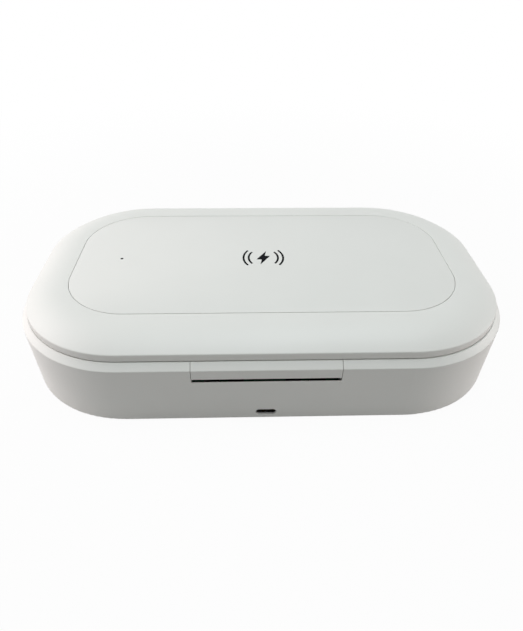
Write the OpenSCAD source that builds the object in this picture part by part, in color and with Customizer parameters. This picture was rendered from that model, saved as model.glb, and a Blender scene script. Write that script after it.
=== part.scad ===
/* [Base] */
// Width of the box, side to side
body_w = 220; // [206:1:240]
// Depth of the box, front to back
body_d = 134; // [126:1:146]
// Radius of the box's upright corners
corner_r = 50; // [46:1:56]
// Height of the wall from its foot to its widest line
wall_rise = 29.2; // [27:0.2:36]
// How far the wall draws in from its widest line to its foot
wall_draft = 1.4; // [0.6:0.1:2.2]
// Thickness of the base wall
wall_t = 2.2; // [1.8:0.1:2.6]
// Width of the sloping band under the rim
band_w = 2.6; // [2.4:0.1:3]
// Height of the sloping band under the rim
band_h = 2.5; // [2.3:0.1:3]
// Width of the flat rim
rim_w = 2.7; // [2.3:0.1:3.2]
// Width of the ledge that carries the tray
ledge_w = 2.2; // [1.6:0.1:3]
// Thickness of the ledge
ledge_t = 2; // [1.6:0.1:3]
// Height of the slope that carries the ledge from the wall
haunch_h = 5; // [4:0.1:7]
// Radius on the outer edges of the base
edge_r = 0.6; // [0.3:0.1:1]
// Thickness of the bottom cover
cover_t = 2; // [1.8:0.1:2.8]
// Width of the lip round the bottom cover
lip_w = 1.1; // [0.8:0.1:1.5]
// Height of the rubber feet below the cover
foot_h = 1.2; // [0.8:0.1:2]
// Radius of a rubber foot
foot_r = 5; // [4:0.5:7]
// Distance from a corner's centre to its foot, along X and along Y
foot_out = 25; // [22:1:27]
// Depth of a foot's recess in the cover
foot_sink = 0.6; // [0.4:0.1:0.9]

/* [Lid] */
// How far the lid's side stands back from the widest line of the base
lid_inset = 3; // [2.4:0.1:3.4]
// Open line between the rim and the lid
lid_gap = 0.5; // [0.4:0.1:0.8]
// Height of the lid's upright side
skirt_h = 3.1; // [2.8:0.1:4]
// Width of the lid's curved border
crown_w = 17.5; // [15:0.5:19]
// Fall of the lid's curved border
crown_h = 5.5; // [4.8:0.1:6.4]
// Thickness of the lid shell
lid_t = 2; // [1.8:0.1:2.2]
// Radius of the lid's outer edge
lid_edge_r = 0.8; // [0.5:0.1:1.2]
// Thickness of the lid's reflective liner
liner_t = 1.2; // [1:0.1:1.4]
// Depth of the recess in the liner, where the lamps lie
liner_depth = 2.7; // [2.4:0.1:2.9]
// Width of the liner's flat border
liner_border = 9.1; // [8.6:0.1:10]

/* [Charging pad] */
// Border between the body's outline and the pad, left and right
pad_side = 21.8; // [20:0.1:24]
// Border between the body's outline and the pad, front and rear
pad_end = 23.1; // [21:0.1:25]
// Radius of the pad's corners
pad_r = 29; // [24:0.5:32]
// Thickness of the pad
pad_t = 1.2; // [1:0.1:1.4]
// Open line round the pad
pad_seam = 0.3; // [0.2:0.05:0.5]
// Thickness of the lid shell under the pad
pad_seat_t = 1.3; // [1.1:0.1:1.5]
// Outer radius of the charging coil
coil_r = 21.5; // [18:0.5:22]
// Turns of wire in the charging coil
coil_turns = 11; // [8:1:12]
// Diameter of the coil's wire
coil_wire = 1; // [0.8:0.05:1.05]
// Thickness of the ferrite sheet behind the coil
ferrite_t = 0.8; // [0.6:0.1:0.9]
// Distance of the status light from the pad's centre
light_x = 67.6; // [60:0.2:74]
// Radius of the status light
light_r = 0.5; // [0.4:0.05:0.8]

/* [Tray] */
// Distance from the body's outline in to the tray's cavity
tray_inset = 13; // [12.6:0.1:15]
// How far the tray's wall draws in from its top to its floor
tray_draft = 2; // [1:0.1:3]
// Thickness of the tray
tray_t = 1.5; // [1.2:0.1:1.8]
// Radius between the tray's wall and its floor
tray_f = 6; // [4:0.5:8]
// Room between the bottom cover and the tray, for the boards
board_room = 5.3; // [5.2:0.1:7]
// Height of the phone rests
rest_h = 7; // [6.6:0.2:9]
// Width of a phone rest
rest_w = 2.4; // [2:0.1:3.2]
// Length of a phone rest
rest_l = 70; // [60:1:74]
// Distance of the outer pair of rests from the middle
rest_x = 72; // [64:1:76]

/* [Lamps] */
// Length of a lamp tube
lamp_l = 120; // [100:1:130]
// Radius of a lamp tube
lamp_r = 2; // [1.6:0.1:2.2]
// Wall of a lamp tube
lamp_t = 0.6; // [0.4:0.1:0.8]
// Length of a lamp's end cap
cap_l = 9; // [7:0.5:12]
// Wall of a lamp's end cap
cap_t = 0.5; // [0.4:0.1:0.7]
// Thickness of a lamp clip's arms
clip_t = 1; // [0.8:0.1:1.3]
// Length of a lamp clip
clip_l = 5; // [4:0.5:6]
// Distance of the lid's lamps from the middle
lid_lamp_y = 36; // [30:1:40]

/* [Hinge] */
// Width of the hinge flap
flap_w = 61; // [54:1:68]
// Open line at each end of the flap
flap_seam = 0.2; // [0.2:0.05:0.4]
// Distance of the hinge axis below the rim
hinge_drop = 5.3; // [5.2:0.05:5.5]
// Distance of the hinge axis inside the rim's outer edge
hinge_in = 0.5; // [0.4:0.05:0.6]
// Radius of the flap's barrel
barrel_r = 2.7; // [2.6:0.05:2.8]
// Radius of the trough that the barrel turns in
trough_r = 4.5; // [4.4:0.05:4.6]
// Thickness of the trough's wall
trough_t = 1.4; // [1.1:0.1:1.5]
// Height of the flap's lower edge under the axis
flap_drop = 2; // [1.9:0.05:2.2]
// Thickness of the flap's neck
neck_t = 3; // [2.6:0.1:3.2]
// Thickness of the flap's leaf inside the lid
leaf_t = 1.6; // [1.5:0.1:1.7]
// Length of an ear that holds a hinge pin
ear_l = 5; // [4:0.5:7]
// Radius of a hinge pin
pin_r = 1.3; // [1.2:0.05:1.4]
// Length of a hinge pin inside the flap
pin_in = 8.5; // [7:0.5:10]
// Running clearance of the pins in the flap
pin_clear = 0.05; // [0.03:0.01:0.1]

/* [Button] */
// Width of the button
button_w = 16; // [13:0.5:18]
// Height of the button
button_h = 6; // [5:0.5:7]
// Height of the button's middle above the foot of the wall
button_z = 13.8; // [12.5:0.1:15.5]
// Open line round the button
button_seam = 0.25; // [0.2:0.05:0.4]
// Travel of the button
button_travel = 0.4; // [0.3:0.05:0.5]
// Width of the finger scoop in the rim
scoop_w = 26; // [20:1:32]
// Depth of the finger scoop below the rim
scoop_h = 4.8; // [4:0.1:5.5]

/* [Electronics] */
// Height of the power socket's middle above the foot of the wall
socket_z = 3.8; // [3.8:0.05:4.4]
// Width of the power socket
socket_w = 8.94; // [8.9:0.01:9]
// Height of the power socket
socket_h = 3.16; // [3.1:0.01:3.2]
// Depth of the power socket
socket_l = 7.3; // [6.5:0.1:8]
// Thickness of the main board
board_t = 1; // [0.8:0.1:1.2]
// Width of the main board
board_w = 68; // [64:1:72]
// Depth of the main board
board_d = 38; // [34:1:40]
// Thickness of the charger board
charger_t = 0.8; // [0.6:0.1:0.8]
// Radius of the harness
wire_r = 0.6; // [0.4:0.05:0.65]

/* [Fasteners] */
// Radius of a small screw's shank
screw_r = 0.9; // [0.8:0.05:1]
// Radius of a small screw's head
head_r = 1.7; // [1.5:0.05:1.8]
// Thickness of a small screw's head
head_t = 0.7; // [0.6:0.05:0.8]
// Wall of a boss round a screw
boss_t = 1.4; // [1.1:0.1:1.6]
// Length of a latch magnet
magnet_l = 10; // [8:0.5:14]
// Distance of the latch magnets from the middle
magnet_x = 34; // [30:1:40]

/* [Hidden] */
$fn = 64;

// Small clearance between pieces that are fixed to each other
fit = 0.1;
// Clearance round a piece that drops into its place
slack = 0.3;
// Overshoot of a cut past the face that it opens
over = 1;

// Centres of the upright corners, which every outline of the box shares
core_x = body_w / 2 - corner_r;
core_y = body_d / 2 - corner_r;
foot_x = core_x + foot_out;
foot_y = core_y + foot_out;

// Heights from the ground up
base_z = foot_h;
cover_z = base_z + cover_t;
tray_z = cover_z + board_room;
floor_z = tray_z + tray_t;
belt_z = base_z + wall_rise;
rim_z = belt_z + band_h;
flange_z = rim_z - 0.2;
ledge_z = flange_z - tray_t;
lid_z = rim_z + lid_gap;
top_z = lid_z + skirt_h + crown_h;
plate_z = top_z - pad_t - pad_seat_t;
liner_z = lid_z + 0.2;
recess_z = liner_z + liner_depth;

// Distances out from a corner's centre
rim_out = corner_r - band_w;
rim_in = rim_out - rim_w;
ledge_in = rim_in - ledge_w;
cavity_top = corner_r - tray_inset;
cavity_floor = cavity_top - tray_draft;
lid_out = corner_r - lid_inset;
lid_in = lid_out - lid_t;
plateau = lid_out - crown_w;
liner_out = lid_in - slack;
recess_out = liner_out - liner_border;
hinge_r = rim_out - hinge_in;

// The lid's border is one arc, level where it meets the flat top
crown_rad = (crown_w * crown_w + crown_h * crown_h) / (2 * crown_h);
crown_z = top_z - crown_rad;

// Hinge
hinge_y = -(core_y + hinge_r);
hinge_z = rim_z - hinge_drop;
flap_half = flap_w / 2;
notch_half = flap_half + flap_seam;
ear_end = notch_half + ear_l;
neck_out = lid_in - slack - fit;
throat = neck_out - neck_t - 0.9;
trough_in = throat - trough_t;
lip = wall_at(hinge_z - trough_r) - 0.25;
lip_z = hinge_z - sqrt(trough_r * trough_r - pow(lip - hinge_r, 2));
leaf_z = liner_z + liner_t + 0.2;
leaf_in = recess_out + 1;
leaf_screw_r = (leaf_in + neck_out - neck_t) / 2 + 0.4;
leaf_screw_xs = [-0.36 * flap_w, -0.12 * flap_w, 0.12 * flap_w, 0.36 * flap_w];

// Charging pad
pad_w = body_w - 2 * pad_side;
pad_d = body_d - 2 * pad_end;
coil_z = top_z - pad_t - fit - coil_wire / 2;
coil_hole = coil_r + 2;

// Lamps: their caps, and the lines that they lie on
cap_r = lamp_r + fit + cap_t;
clip_r = cap_r + fit;
base_lamp_y = core_y + cavity_floor - tray_f - clip_r - clip_t;
base_lamp_z = floor_z + 0.8 + clip_r;
lid_lamp_z = recess_z - 0.3 - clip_r;
rest_xs = [-rest_x, -rest_x / 3, rest_x / 3, rest_x];

// Board that the socket sits in, and its posts
socket_mid = base_z + socket_z;
board_z = socket_mid - 0.8;
board_y = -(core_y + corner_r - wall_draft - wall_t - slack - 0.5);
socket_y = -(core_y + wall_at(socket_mid)) + 0.8;
plug_xs = [for (k = [-0.35, -0.19, 0.19, 0.35]) k * board_w];
plug_y = board_y + 12;
board_holes = [for (x = [-1, 1], y = [4, board_d - 8]) [x * (board_w / 2 - 4), board_y + y]];
charger_w = 50;
charger_d = 32;
charger_x = -(coil_hole + 2 + charger_w / 2);
charger_z = plate_z - fit - charger_t;

// Switch behind the button, on a board that hangs on two bosses
button_y = core_y + wall_at(base_z + button_z);
button_mid = base_z + button_z;
flange_y = core_y + wall_at(button_mid - button_h) - wall_t - 0.25;
switch_y = flange_y - 6.2;
switch_boss_x = button_w / 2 + 4.2;
switch_d = 2.4;
plunger_r = 1.7;
plunger_out = button_travel + 0.5;

// Screws
pilot_r = screw_r + 0.02;
boss_r = screw_r + boss_t;
cover_screw_xs = [-core_x - 20, core_x + 20];
cover_screw_ys = [-core_y - 13, core_y + 13];
border_r = (recess_out + liner_out) / 2 + 1;
liner_screw_spots = concat(
    [for (x = [-1, 1], y = [-1, 1]) [x * (core_x - 4), y * (core_y + border_r)]],
    [for (x = [-1, 1]) [x * (core_x + border_r), 0]]);
bumper_r = 2;

// Latch magnets, under the rim and inside the lid's border
magnet_w = 2.2;
base_magnet_r = rim_out - magnet_w / 2 - 0.2;
lid_magnet_r = lid_in - magnet_w / 2 - 1.1;

// Outer face of the wall at a height, as a distance from a corner's centre
function wall_at(z) = corner_r - wall_draft * (belt_z - z) / wall_rise;
function unit(v) = v / norm(v);

// Polygon with its corners rounded: a plus radius cuts a corner, a minus radius fills one
module eased(points, radii) {
  n = len(points);
  module wedge(i) {
    p = points[i];
    a = unit(points[(i + n - 1) % n] - p);
    b = unit(points[(i + 1) % n] - p);
    r = abs(radii[i]);
    half = acos(a * b) / 2;
    c = p + unit(a + b) * r / sin(half);
    reach = r / tan(half);
    difference() {
      polygon([c, p + a * reach, p - unit(a + b) * r / 4, p + b * reach]);
      translate(c) circle(r);
    }
  }
  difference() {
    union() {
      polygon(points);
      for (i = [0:n - 1]) if (radii[i] < 0) wedge(i);
    }
    for (i = [0:n - 1]) if (radii[i] > 0) wedge(i);
  }
}

// Carries a section, drawn as distance out and height, round four corners and along four sides
module around(cx = core_x, cy = core_y) {
  for (turn = [0:90:270]) {
    sx = (turn == 0 || turn == 270) ? 1 : -1;
    sy = turn < 180 ? 1 : -1;
    translate([sx * cx, sy * cy, 0]) rotate([0, 0, turn]) rotate_extrude(angle = 90) children();
  }
  for (s = [-1, 1]) {
    translate([s * cx, 0, 0]) rotate([90, 0, 90 - s * 90])
      linear_extrude(2 * cy, center = true) children();
    translate([0, s * cy, 0]) rotate([90, 0, s * 90])
      linear_extrude(2 * cx, center = true) children();
  }
}

// The same section, with the middle filled between two heights
module filled(low, high, cx = core_x, cy = core_y) {
  around(cx, cy) children();
  translate([-cx, -cy, low]) cube([2 * cx, 2 * cy, high - low]);
}

// Carries a section along the middle of the rear side or of the front side
module rear_run(length) {
  translate([0, -core_y, 0]) rotate([90, 0, -90]) linear_extrude(length, center = true) children();
}
module front_run(length) {
  translate([0, core_y, 0]) rotate([90, 0, 90]) linear_extrude(length, center = true) children();
}

module box(low, high) {
  translate(low) cube(high - low);
}

// Slot-shaped outline with round ends
module stadium(w, h) {
  square([w - h, h], center = true);
  for (s = [-1, 1]) translate([s * (w - h) / 2, 0]) circle(h / 2);
}

// Extrudes an outline drawn in X and Z from one Y to another
module along_y(low, high) {
  translate([0, high, 0]) rotate([90, 0, 0]) linear_extrude(high - low) children();
}

// Round bar along X between two places
module x_bar(low, high, y, z, r) {
  translate([low, y, z]) rotate([0, 90, 0]) cylinder(h = high - low, r = r);
}

// Screw with a flat round head under its shank
module screw(length, r = screw_r, hr = head_r, ht = head_t) {
  cylinder(h = ht, r = hr);
  cylinder(h = ht + length, r = r);
}

// Bent wire: straight eight-sided runs that overlap at each bend
module wire(points, r) {
  for (i = [0:len(points) - 2]) {
    v = points[i + 1] - points[i];
    translate(points[i])
      rotate([0, acos(v.z / norm(v)), atan2(v.y, v.x)])
        translate([0, 0, -r / 2]) cylinder(h = norm(v) + r, r = r, $fn = 8);
  }
}

// Base

module base_outline() {
  eased([[0, base_z], [corner_r - wall_draft, base_z], [corner_r, belt_z], [rim_out, rim_z], [0, rim_z]],
      [0, edge_r, edge_r, edge_r, 0]);
}

module base_void() {
  seat = corner_r - wall_draft - lip_w;
  polygon([[-over, base_z - over], [seat, base_z - over], [seat, cover_z],
      [corner_r - wall_draft - wall_t, cover_z], [corner_r - wall_t, ledge_z - ledge_t - haunch_h],
      [ledge_in, ledge_z - ledge_t], [ledge_in, ledge_z], [rim_in, ledge_z], [rim_in, rim_z + over],
      [-over, rim_z + over]]);
}

// Trough and ears that carry the hinge, drawn as a section of the rear side
module hinge_block() {
  rear_run(2 * ear_end) intersection() {
    base_outline();
    union() {
      translate([hinge_r, hinge_z]) circle(trough_r + trough_t);
      translate([trough_in, hinge_z - trough_t]) square([corner_r, hinge_drop + trough_t]);
    }
  }
}

// Room for the flap, with a floor that opens downward behind the lip in the wall
module hinge_notch() {
  rear_run(2 * notch_half) union() {
    translate([hinge_r, hinge_z]) circle(trough_r);
    translate([throat, hinge_z - 0.4]) square([corner_r, hinge_drop + 0.4 + over]);
    polygon([[lip, lip_z], [lip + 0.9, lip_z - 0.9], [lip + 0.9, lip_z + 1.5], [lip - 0.8, lip_z + 1.5],
        [throat + 2.8, lip_z + 1.5], [throat + 2.8, lip_z - 4.6], [lip - 2.2, lip_z - 4.6],
        [lip - 0.8, lip_z - 3], [lip - 0.8, lip_z - 0.8]]);
  }
}

// Scoop for a finger in the rim, reaching in under the lid's edge
module scoop() {
  half = scoop_w / 2;
  low = rim_z - scoop_h;
  high = rim_z + over;
  along_y(core_y + lid_out - 1.8, core_y + corner_r + over)
    eased([[-half - over, high], [-half + scoop_h, low], [half - scoop_h, low], [half + over, high]],
        [0, scoop_h, scoop_h, 0]);
}

// Pockets beside the ears, where the pins are pushed in
module pin_pockets() {
  for (s = [-1, 1]) translate([s * (ear_end + 2.5), hinge_y, hinge_z])
    box([-2.5, -pin_r - 0.4, -4], [2.5, hinge_r - trough_in + over, pin_r + 0.5]);
}

module magnet_pockets() {
  for (s = [-1, 1]) translate([s * magnet_x, core_y + base_magnet_r, 0])
    box([-magnet_l / 2 - fit, -magnet_w / 2 - fit, ledge_z - ledge_t - haunch_h],
        [magnet_l / 2 + fit, magnet_w / 2 + fit, rim_z - 1.6]);
}

module switch_bosses() {
  for (s = [-1, 1]) difference() {
    along_y(switch_y, core_y + wall_at(button_mid) - wall_t / 2)
      translate([s * switch_boss_x, button_mid]) circle(boss_r);
    along_y(switch_y - over, switch_y + 4) translate([s * switch_boss_x, button_mid]) circle(pilot_r);
  }
}

module base_shell() {
  color("#eceeed") {
    difference() {
      union() {
        around() difference() {
          base_outline();
          base_void();
        }
        hinge_block();
      }
      hinge_notch();
      x_bar(-ear_end - over, ear_end + over, hinge_y, hinge_z, pin_r + 0.01);
      scoop();
      pin_pockets();
      magnet_pockets();
      along_y(-body_d / 2 - over, -core_y - corner_r + wall_draft + wall_t + over)
        translate([0, socket_mid]) stadium(socket_w + 2 * fit, socket_h + 2 * fit);
      along_y(core_y + corner_r - wall_draft - wall_t - over, body_d / 2 + over)
        translate([0, button_mid]) stadium(button_w + 2 * button_seam, button_h + 2 * button_seam);
    }
    switch_bosses();
  }
}

module bottom_cover() {
  out = corner_r - wall_draft - lip_w - 0.2;
  color("#e2e4e3") difference() {
    union() {
      filled(base_z, cover_z)
        eased([[0, base_z], [out, base_z], [out, cover_z], [0, cover_z]], [0, 0.3, 0, 0]);
      for (p = board_holes) translate([p.x, p.y, cover_z - fit])
        cylinder(h = board_z - cover_z + fit, r = boss_r);
    }
    for (x = [-foot_x, foot_x], y = [-foot_y, foot_y]) translate([x, y, base_z - over])
      cylinder(h = foot_sink + over, r = foot_r + fit);
    for (x = cover_screw_xs, y = cover_screw_ys) translate([x, y, base_z - over]) {
      cylinder(h = over + 1.1, r = 2.5);
      cylinder(h = over + cover_t + over, r = 1.3);
    }
    for (p = board_holes) translate([p.x, p.y, base_z + 0.8]) cylinder(h = board_z, r = pilot_r);
  }
}

// Rubber foot with a softened tread
module foot(sx, sy) {
  color("#8b8d8e") translate([sx * foot_x, sy * foot_y, 0]) rotate_extrude()
    eased([[0, 0], [foot_r, 0], [foot_r, foot_h + foot_sink], [0, foot_h + foot_sink]], [0, 0.5, 0, 0]);
}

module cover_screws() {
  color("#9a9da0") for (x = cover_screw_xs, y = cover_screw_ys) translate([x, y, base_z + 0.1])
    screw(cover_t + 3.4, 1.1, 2.3, 1);
}

module inner_tray() {
  out_top = rim_in - slack;
  wall_top = cavity_top + tray_t;
  color("#cfd3d6") difference() {
    union() {
      filled(tray_z, floor_z) difference() {
        union() {
          eased([[0, tray_z], [cavity_floor + tray_t, tray_z], [wall_top, flange_z], [0, flange_z]],
              [0, tray_f + tray_t, 0, 0]);
          translate([cavity_top - over, ledge_z]) square([out_top - cavity_top + over, tray_t]);
        }
        eased([[-over, floor_z], [cavity_floor, floor_z], [cavity_top, flange_z],
            [cavity_top, flange_z + over], [-over, flange_z + over]], [0, tray_f, 0, 0, 0]);
      }
      for (x = cover_screw_xs, y = cover_screw_ys) translate([x, y, cover_z])
        cylinder(h = board_room + fit, r = 3);
    }
    rear_run(2 * (ear_end + slack)) translate([trough_in - slack, ledge_z - over])
      square([rim_in, tray_t + 2 * over]);
    for (x = cover_screw_xs, y = cover_screw_ys) translate([x, y, cover_z - over])
      cylinder(h = over + 4.6, r = 1.12);
  }
}

// Clear bars that hold the phone up off the tray
module phone_rests() {
  color("#dfe8ec", 0.6) for (x = rest_xs) translate([x, 0, floor_z]) along_y(-rest_l / 2, rest_l / 2) {
    translate([-rest_w / 2, 0]) square([rest_w, rest_h - rest_w / 2]);
    translate([0, rest_h - rest_w / 2]) circle(rest_w / 2);
  }
}

// Lamps

module lamp(y, z) {
  color("#e6eef5", 0.7) difference() {
    x_bar(-lamp_l / 2, lamp_l / 2, y, z, lamp_r);
    x_bar(-lamp_l / 2 - over, lamp_l / 2 + over, y, z, lamp_r - lamp_t);
  }
}

module lamp_caps(y, z) {
  color("#f2f2ee") for (s = [-1, 1], t = [-1, 1]) difference() {
    translate([s * (lamp_l / 2 + 2 - cap_l / 2), 0, 0]) x_bar(-cap_l / 2, cap_l / 2, t * y, z, cap_r);
    translate([s * (lamp_l / 2 + fit - cap_l), 0, 0]) x_bar(-cap_l, cap_l, t * y, z, lamp_r + fit);
  }
}

// Clip with two arms that hold a cap, standing on a face at a height; up is 1 or -1
module lamp_clips(y, z, seat, up) {
  tall = abs(z - seat) + clip_r / 2;
  half = clip_r + clip_t;
  color("#f0f0ec") for (s = [-1, 1], t = [-1, 1])
    translate([s * (lamp_l / 2 + 2 - cap_l / 2), t * y, seat]) rotate([90, 0, 90])
      linear_extrude(clip_l, center = true) difference() {
        translate([-half, up > 0 ? 0 : -tall]) square([2 * half, tall]);
        translate([0, z - seat]) circle(clip_r);
      }
}

// Electronics in the base

module main_board() {
  color("#2f6b46") difference() {
    box([-board_w / 2, board_y, board_z], [board_w / 2, board_y + board_d, board_z + board_t]);
    box([-socket_w / 2 - fit, board_y - over, board_z - over],
        [socket_w / 2 + fit, socket_y + socket_l + fit, board_z + board_t + over]);
    for (p = board_holes) translate([p.x, p.y, board_z - over])
      cylinder(h = board_t + 2 * over, r = screw_r + fit);
  }
}

module board_parts() {
  top = board_z + board_t;
  room = tray_z - top - 0.2;
  mid = board_y + board_d / 2;
  color("#33353a") {
    translate([-18, mid + 4, top]) box([-8, -6, 0], [8, 6, room]);
    translate([6, mid + 5, top]) box([-4, -4, 0], [4, 4, 1]);
    for (x = [14, 21.5]) translate([x, mid + 9, top]) cylinder(h = room, r = 3);
    for (x = plug_xs) translate([x, plug_y, top]) box([-3.5, -2, 0], [3.5, 2, room]);
  }
}

module board_screws() {
  color("#9a9da0") for (p = board_holes) translate([p.x, p.y, board_z + board_t + head_t])
    mirror([0, 0, 1]) screw(board_t + 1.4);
}

module socket_shell() {
  color("#b9bcc0") {
    along_y(socket_y, socket_y + socket_l) translate([0, socket_mid]) difference() {
      stadium(socket_w, socket_h);
      stadium(socket_w - 0.6, socket_h - 0.6);
    }
    for (s = [-1, 1]) translate([s * (socket_w / 2 + 0.6), socket_y + socket_l - 2.5, board_z + board_t])
      box([-0.9, -1.5, 0], [0.9, 1.5, 0.3]);
  }
}

module socket_tongue() {
  back = socket_y + socket_l;
  color("#2a2b2e") {
    along_y(back - 1.6, back) translate([0, socket_mid]) stadium(socket_w - 0.7, socket_h - 0.7);
    box([-3.35, back - 6.2, socket_mid - 0.35], [3.35, back - 1.5, socket_mid + 0.35]);
  }
}

module switch_board() {
  color("#2f6b46") difference() {
    box([-switch_boss_x - 3, switch_y - 1, button_mid - 5], [switch_boss_x + 3, switch_y, button_mid + 5]);
    for (s = [-1, 1]) along_y(switch_y - 2, switch_y + over)
      translate([s * switch_boss_x, button_mid]) circle(screw_r + fit);
  }
}

module switch_screws() {
  color("#9a9da0") for (s = [-1, 1]) translate([s * switch_boss_x, switch_y - 1 - head_t, button_mid])
    rotate([-90, 0, 0]) screw(4.4);
}

module push_switch() {
  color("#26272a") difference() {
    box([-3, switch_y, button_mid - 3], [3, switch_y + switch_d, button_mid + 3]);
    along_y(switch_y + switch_d - 1.7, switch_y + switch_d + over)
      translate([0, button_mid]) circle(plunger_r + fit);
  }
}

module lid_sensor() {
  color("#26272a") box([-9, switch_y, button_mid + 1.6], [-5.4, switch_y + 1.2, button_mid + 4.4]);
}

module base_magnets() {
  color("#8f9397") for (s = [-1, 1]) translate([s * magnet_x, core_y + base_magnet_r, 0])
    box([-magnet_l / 2, -magnet_w / 2, rim_z - 3.2], [magnet_l / 2, magnet_w / 2, rim_z - 1.6 - fit]);
}

// Hinge

module hinge_pin(side, bore) {
  color("#aeb2b6") difference() {
    translate([side * (ear_end + flap_half - pin_in) / 2, 0, 0])
      x_bar(-(ear_l + flap_seam + pin_in) / 2, (ear_l + flap_seam + pin_in) / 2, hinge_y, hinge_z, pin_r);
    if (bore) x_bar(0, ear_end + over, hinge_y, hinge_z, wire_r + 0.15);
  }
}

// Flap: a face that carries on the wall and band, a barrel, a neck and a leaf inside the lid
module flap_section() {
  intersection() {
    base_outline();
    translate([neck_out - 1, hinge_z - flap_drop]) square([corner_r, flap_drop + hinge_drop]);
  }
  translate([hinge_r, hinge_z]) circle(barrel_r);
  intersection() {
    union() {
      translate([neck_out - neck_t, hinge_z]) square([neck_t, leaf_z + leaf_t - hinge_z]);
      translate([leaf_in, leaf_z]) square([neck_out - leaf_in, leaf_t]);
    }
    union() {
      lid_void(0.2);
      square([corner_r, lid_z]);
    }
  }
}

channel_x = 0.24 * flap_w;

module hinge_flap() {
  color("#e9ebea") difference() {
    rear_run(flap_w) flap_section();
    x_bar(-flap_half - over, flap_half + over, hinge_y, hinge_z, pin_r + pin_clear);
    translate([channel_x, 0, 0]) rear_run(2)
      polygon([[hinge_r, hinge_z - 1], [hinge_r, hinge_z + 1.2], [neck_out - 0.2, hinge_z + 4.2],
          [neck_out - 0.2, leaf_z + leaf_t + over], [leaf_in - over, leaf_z + leaf_t + over],
          [leaf_in - over, hinge_z - 1]]);
    for (x = leaf_screw_xs) translate([x, -core_y - leaf_screw_r, leaf_z - over]) {
      cylinder(h = over + head_t + fit, r = head_r + fit);
      cylinder(h = over + leaf_t + over, r = screw_r + fit);
    }
  }
}

module flap_screws() {
  color("#9a9da0") for (x = leaf_screw_xs) translate([x, -core_y - leaf_screw_r, leaf_z]) screw(2.9);
}

module base_harness() {
  start = plug_xs[3] + 3.5 + wire_r;
  out = ear_end + 2;
  color("#3a3b40") wire([[start, plug_y, tray_z - 1.3], [out, plug_y - 3, tray_z - 1.3],
      [out, hinge_y + 1.4, cover_z + 9], [out, hinge_y, hinge_z], [flap_half + 0.2, hinge_y, hinge_z]],
      wire_r);
}

module lid_harness() {
  edge = charger_x + 16;
  color("#3a3b40") wire([[flap_half - 0.4, hinge_y, hinge_z], [channel_x, hinge_y, hinge_z],
      [channel_x, -core_y - neck_out + 1.6, hinge_z + 4], [channel_x, -core_y - neck_out + 1.6, leaf_z],
      [channel_x, -core_y - recess_out + 0.6, plate_z - 0.9], [edge, -charger_d / 2 - 4, plate_z - 0.9],
      [edge, -charger_d / 2 - 0.5, plate_z - 0.9]], wire_r);
}

// Lid

module crown(out, under, rad, flat_top) {
  translate([0, under]) square([plateau, flat_top - under]);
  intersection() {
    translate([plateau, under]) square([out - plateau, flat_top - under]);
    translate([plateau, crown_z]) circle(rad, $fn = 240);
  }
}

module lid_outline() {
  edge_z = crown_z + sqrt(crown_rad * crown_rad - crown_w * crown_w);
  r = lid_edge_r;
  mid = [lid_out - r, crown_z + sqrt(pow(crown_rad - r, 2) - pow(crown_w - r, 2))];
  side = [lid_out, mid.y];
  slope = [plateau, crown_z] + unit(mid - [plateau, crown_z]) * crown_rad;
  difference() {
    crown(lid_out, lid_z, crown_rad, top_z);
    difference() {
      polygon([mid, side, [lid_out + r, edge_z + r], slope]);
      translate(mid) circle(r);
    }
  }
}

module lid_void(clear) {
  crown(lid_in - clear, lid_z - over, crown_rad - lid_t - clear, plate_z - clear);
}

module pad_recess() {
  out = pad_r + pad_seam;
  filled(top_z - pad_t, top_z + over, pad_w / 2 - pad_r, pad_d / 2 - pad_r)
    polygon([[0, top_z - pad_t], [out, top_z - pad_t], [out, top_z - 0.1], [out + 0.1, top_z],
        [out + 0.1, top_z + over], [0, top_z + over]]);
}

// Bosses that hang from the inside of the lid, each ending at the piece that it carries
module lid_bosses() {
  for (p = liner_screw_spots) translate([p.x, p.y, liner_z + liner_t])
    cylinder(h = 3.2, r = boss_r);
  for (x = leaf_screw_xs) translate([x, -core_y - leaf_screw_r, leaf_z + leaf_t])
    cylinder(h = 2, r = boss_r);
}

module lid_shell() {
  color("#f0f2f1") difference() {
    union() {
      filled(plate_z, top_z) difference() {
        lid_outline();
        lid_void(0);
      }
      lid_bosses();
    }
    pad_recess();
    translate([0, 0, plate_z - over]) cylinder(h = pad_seat_t + 2 * over, r = coil_hole);
    translate([-light_x, 0, plate_z - over]) cylinder(h = pad_seat_t + 2 * over, r = light_r + 0.2);
    for (p = liner_screw_spots) translate([p.x, p.y, liner_z]) cylinder(h = liner_t + 2.4, r = pilot_r);
    for (x = leaf_screw_xs) translate([x, -core_y - leaf_screw_r, leaf_z])
      cylinder(h = leaf_t + 2.1, r = pilot_r);
  }
}

module charging_pad() {
  low = top_z - pad_t;
  color("#e9eceb") difference() {
    filled(low, top_z, pad_w / 2 - pad_r, pad_d / 2 - pad_r)
      eased([[0, low], [pad_r, low], [pad_r, top_z], [0, top_z]], [0, 0, 0.1, 0]);
    translate([-light_x, 0, low - over]) cylinder(h = pad_t + 2 * over, r = light_r + fit);
  }
}

module status_light() {
  color("#55585c") translate([-light_x, 0, plate_z]) cylinder(h = top_z - plate_z, r = light_r, $fn = 32);
}

module charging_coil() {
  color("#b8733a") rotate_extrude() for (i = [0:coil_turns - 1])
    translate([coil_r - coil_wire / 2 - i * 0.94 * coil_wire, coil_z]) circle(coil_wire / 2, $fn = 24);
}

module ferrite_sheet() {
  color("#3c3f44") translate([0, 0, coil_z - coil_wire / 2 - fit - ferrite_t])
    cylinder(h = ferrite_t, r = coil_r + 1);
}

module charger_board() {
  color("#2f6b46") box([charger_x - charger_w / 2, -charger_d / 2, charger_z],
      [charger_x + charger_w / 2, charger_d / 2, charger_z + charger_t]);
}

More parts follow.
